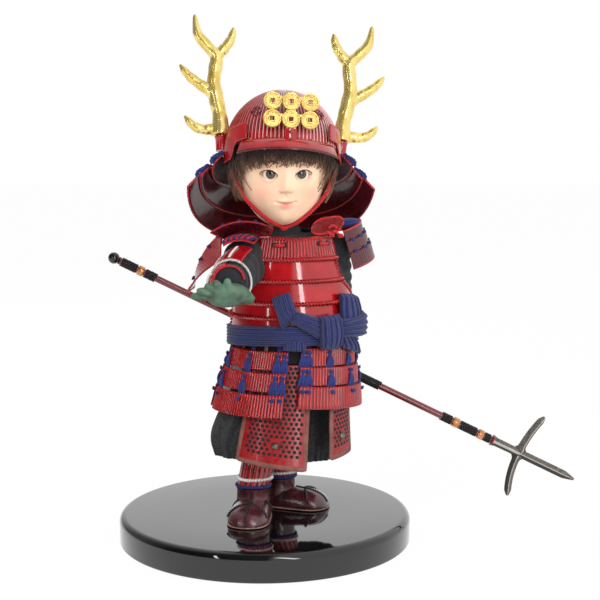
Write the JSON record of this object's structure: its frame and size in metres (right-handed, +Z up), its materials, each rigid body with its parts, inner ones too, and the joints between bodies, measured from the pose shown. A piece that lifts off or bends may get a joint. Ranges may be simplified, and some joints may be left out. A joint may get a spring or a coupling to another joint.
{
  "type": "samurai doll",
  "caption": "Standing child-faced samurai doll in laced red armour with an antlered helmet and a cross-bladed spear, on a round black stand.",
  "frame": {"origin": "centre of the round stand's underside", "axes": "+Z up from the stand, -Y the way the doll faces, +X to its left"},
  "size_m": [0.3537, 0.21, 0.3754],
  "materials": {
    "black_lacquer": "mirror-gloss black lacquer",
    "red_lacquer": "gloss red lacquer",
    "maroon_lacquer": "gloss maroon lacquer",
    "boot_leather": "polished oxblood leather",
    "black_cloth": "plain black cloth over stuffing",
    "navy_cotton": "ribbed navy cotton",
    "brown_leather": "soft brown leather",
    "green_leather": "soft green glove leather",
    "skin_vinyl": "matt skin vinyl",
    "dark_eye": "gloss brown",
    "hair": "dark brown fibre",
    "peg_wood": "plain turned wood",
    "red_cord": "twisted red cord",
    "gold": "polished gold",
    "shaft_lacquer": "dark red lacquer",
    "blade_steel": "dulled steel",
    "black_wrap": "rough black wrapping"
  },
  "bodies": {
    "figure": {"stand_base": "black_lacquer", "right_boot": "boot_leather", "left_boot": "boot_leather", "right_leg": "black_cloth", "left_leg": "black_cloth", "right_shin_guard": "red_lacquer", "left_shin_guard": "red_lacquer", "trousers": "black_cloth", "torso_core": "black_cloth", "cuirass_front": "red_lacquer", "cuirass_back": "red_lacquer", "right_shoulder_strap": "red_lacquer", "left_shoulder_strap": "red_lacquer", "hanger_band": "brown_leather", "sash_band": "navy_cotton", "sash_bow": "navy_cotton", "right_sleeve": "black_cloth", "left_sleeve": "black_cloth", "right_forearm_guard": "red_lacquer", "right_hand": "green_leather", "left_hand": "green_leather"},
    "head_and_helmet": {"head": "skin_vinyl", "right_eye": "dark_eye", "left_eye": "dark_eye", "wig": "hair", "neck_peg": "peg_wood", "chin_cord": "red_cord", "helmet_bowl": "red_lacquer", "helmet_brim": "red_lacquer", "neck_guard_lame_1": "red_lacquer", "neck_guard_lame_2": "red_lacquer", "neck_guard_lame_3": "red_lacquer"},
    "crest": {"crest": "gold"},
    "right_antler": {"right_antler": "gold"},
    "left_antler": {"left_antler": "gold"},
    "spear": {"spear_shaft": "shaft_lacquer", "spear_blade": "blade_steel", "spear_tail_knob": "black_lacquer", "spear_head_wrap": "black_wrap", "spear_tail_wrap": "black_wrap"},
    "right_shoulder_guard": {"right_shoulder_cap": "maroon_lacquer", "right_shoulder_lame_1": "maroon_lacquer", "right_shoulder_lame_2": "maroon_lacquer"},
    "left_shoulder_guard": {"left_shoulder_cap": "maroon_lacquer", "left_shoulder_lame_1": "maroon_lacquer", "left_shoulder_lame_2": "maroon_lacquer"},
    "front_right_panel": {"skirt_front_right_lame_1": "red_lacquer", "skirt_front_right_lame_2": "red_lacquer", "skirt_front_right_lame_3": "red_lacquer"},
    "front_left_panel": {"skirt_front_left_lame_1": "red_lacquer", "skirt_front_left_lame_2": "red_lacquer", "skirt_front_left_lame_3": "red_lacquer"},
    "back_right_panel": {"skirt_back_right_lame_1": "red_lacquer", "skirt_back_right_lame_2": "red_lacquer", "skirt_back_right_lame_3": "red_lacquer"},
    "back_left_panel": {"skirt_back_left_lame_1": "red_lacquer", "skirt_back_left_lame_2": "red_lacquer", "skirt_back_left_lame_3": "red_lacquer"},
    "right_thigh_guard": {"right_thigh_guard": "red_lacquer"},
    "left_thigh_guard": {"left_thigh_guard": "red_lacquer"}
  },
  "joints": [
    {"name": "head_turn", "type": "hinge", "parent": "figure", "child": "head_and_helmet", "pos_m": [0.0127, 0.001, 0.277], "axis": [-0.0091, 0.0867, 0.9962], "range_deg": [-10, 10]},
    {"name": "crest_pull", "type": "slide", "parent": "head_and_helmet", "child": "crest", "axis": [0.018, 0.2637, 0.9644], "range_m": [0, 0.01]},
    {"name": "right_antler_pull", "type": "slide", "parent": "head_and_helmet", "child": "right_antler", "axis": [-0.058, 0.2526, 0.9658], "range_m": [0, 0.01]},
    {"name": "left_antler_pull", "type": "slide", "parent": "head_and_helmet", "child": "left_antler", "axis": [0.0938, 0.2732, 0.9574], "range_m": [0, 0.01]},
    {"name": "spear_slide", "type": "slide", "parent": "figure", "child": "spear", "axis": [0.8988, 0, -0.4384], "range_m": [-0.03, 0.02]},
    {"name": "right_shoulder_guard_lift", "type": "hinge", "parent": "figure", "child": "right_shoulder_guard", "pos_m": [-0.012, -0.0165, 0.224], "axis": [-0.9719, 0.2356, 0], "range_deg": [0, 10]},
    {"name": "left_shoulder_guard_swing", "type": "hinge", "parent": "figure", "child": "left_shoulder_guard", "pos_m": [0.044, 0.004, 0.2224], "axis": [0, -1, 0], "range_deg": [0, 12]},
    {"name": "front_right_panel_swing", "type": "hinge", "parent": "figure", "child": "front_right_panel", "pos_m": [-0.00358, -0.02543, 0.1385], "axis": [-0.8474, 0.5309, 0], "range_deg": [0, 20]},
    {"name": "front_left_panel_swing", "type": "hinge", "parent": "figure", "child": "front_left_panel", "pos_m": [0.05095, -0.01532, 0.1385], "axis": [-0.6148, -0.7887, 0], "range_deg": [0, 20]},
    {"name": "back_right_panel_swing", "type": "hinge", "parent": "figure", "child": "back_right_panel", "pos_m": [-0.01076, 0.0199, 0.1385], "axis": [0.6277, 0.7784, 0], "range_deg": [0, 15]},
    {"name": "back_left_panel_swing", "type": "hinge", "parent": "figure", "child": "back_left_panel", "pos_m": [0.04318, 0.02991, 0.1385], "axis": [0.8561, -0.5168, 0], "range_deg": [0, 8]},
    {"name": "right_thigh_guard_swing", "type": "hinge", "parent": "figure", "child": "right_thigh_guard", "pos_m": [0.0127, -0.03143, 0.132], "axis": [-0.9959, 0.0903, 0], "range_deg": [0, 3]},
    {"name": "left_thigh_guard_swing", "type": "hinge", "parent": "figure", "child": "left_thigh_guard", "pos_m": [0.05098, -0.01795, 0.132], "axis": [-0.6213, -0.7836, 0], "range_deg": [0, 3]}
  ]
}
